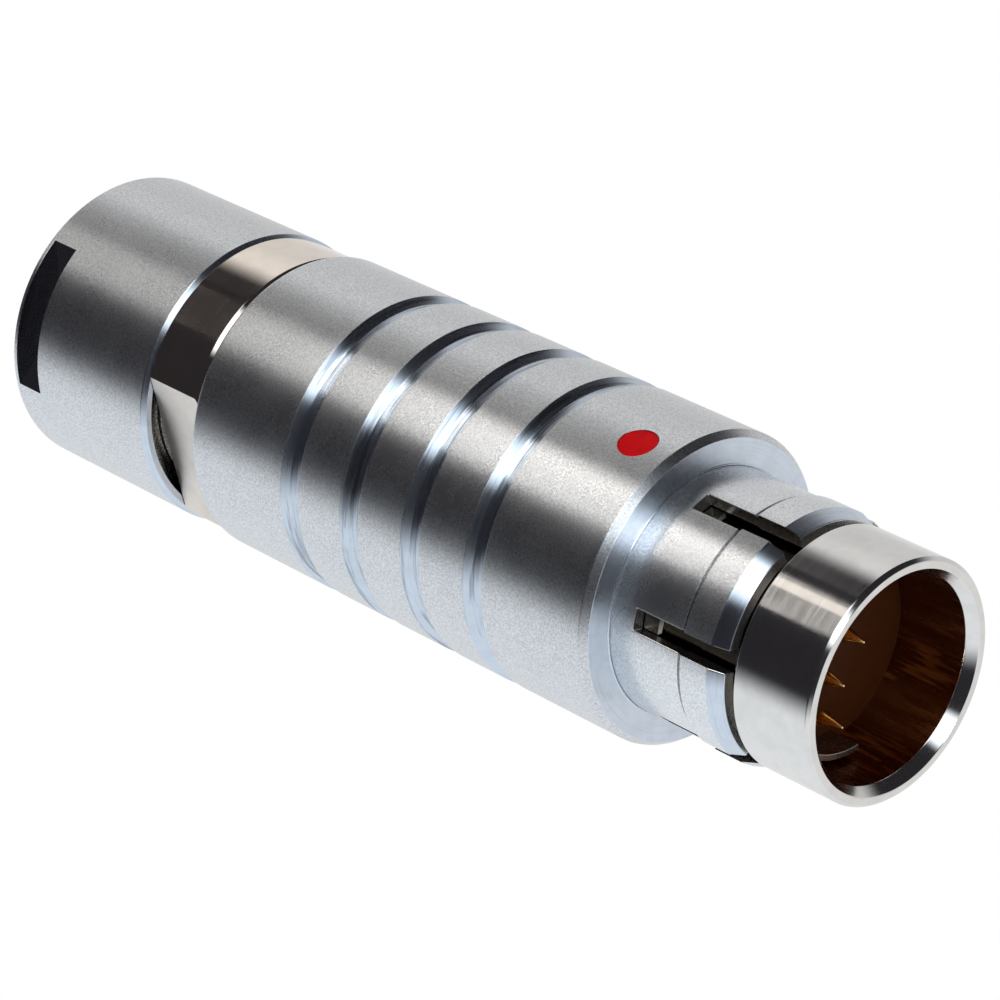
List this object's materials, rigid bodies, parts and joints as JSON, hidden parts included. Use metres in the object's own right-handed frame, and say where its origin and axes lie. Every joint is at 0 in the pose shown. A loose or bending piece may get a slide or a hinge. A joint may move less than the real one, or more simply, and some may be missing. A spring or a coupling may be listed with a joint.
{
  "type": "push pull circular connector",
  "caption": "Round push pull cable plug: ribbed grip shell, slotted latch sleeve, bright front ring, recessed pins with half shell key, collar with wrench flats and back nut.",
  "frame": {"origin": "on the connector's axis at the rear face of the back nut, which it stands on", "axes": "+Z along the connector's axis, from the back nut up to the mating end; -Y is the side with the latch finger that faces halfway between two of its slots and with a spanner recess near it"},
  "size_m": [0.018, 0.018, 0.0627],
  "materials": {
    "satin_chrome": "fine blasted, satin chrome plate",
    "bright_nickel": "turned and bright nickel plate",
    "brown_plastic": "machined, smooth",
    "gold_plate": "bright gold plate",
    "black_rubber": "matte",
    "steel": "ground",
    "red_enamel": "gloss enamel fill"
  },
  "bodies": {
    "core": {"front_shell": "bright_nickel", "key_half_shell": "bright_nickel", "insulator_front": "brown_plastic", "insulator_rear": "brown_plastic", "contact_pin_1": "gold_plate", "contact_pin_2": "gold_plate", "contact_pin_3": "gold_plate", "carrier_half_a": "bright_nickel", "carrier_half_b": "bright_nickel", "shield_ferrule": "bright_nickel", "inner_body": "bright_nickel", "guide_key": "steel", "shell_seal": "black_rubber", "nut_seal": "black_rubber", "cable_seal": "black_rubber", "collet": "bright_nickel"},
    "grip": {"outer_shell": "satin_chrome", "index_dot": "red_enamel", "latch_sleeve": "satin_chrome"},
    "washer": {"clamp_washer": "steel"},
    "nut": {"back_nut": "satin_chrome"}
  },
  "joints": [
    {"name": "grip_slide", "type": "slide", "parent": "core", "child": "grip", "axis": [0, 0, 1], "range_m": [0, 0.0004]},
    {"name": "nut_back", "type": "slide", "parent": "core", "child": "washer", "axis": [0, 0, -1], "range_m": [0, 0.006]},
    {"name": "nut_turn", "type": "hinge", "parent": "washer", "child": "nut", "pos_m": [0, 0, 0.006], "axis": [0, 0, 1], "range_deg": [-4320.1, 0]}
  ],
  "couplings": [
    {"joint": "nut_turn", "follows": "nut_back", "rad_per_m": -12566}
  ]
}
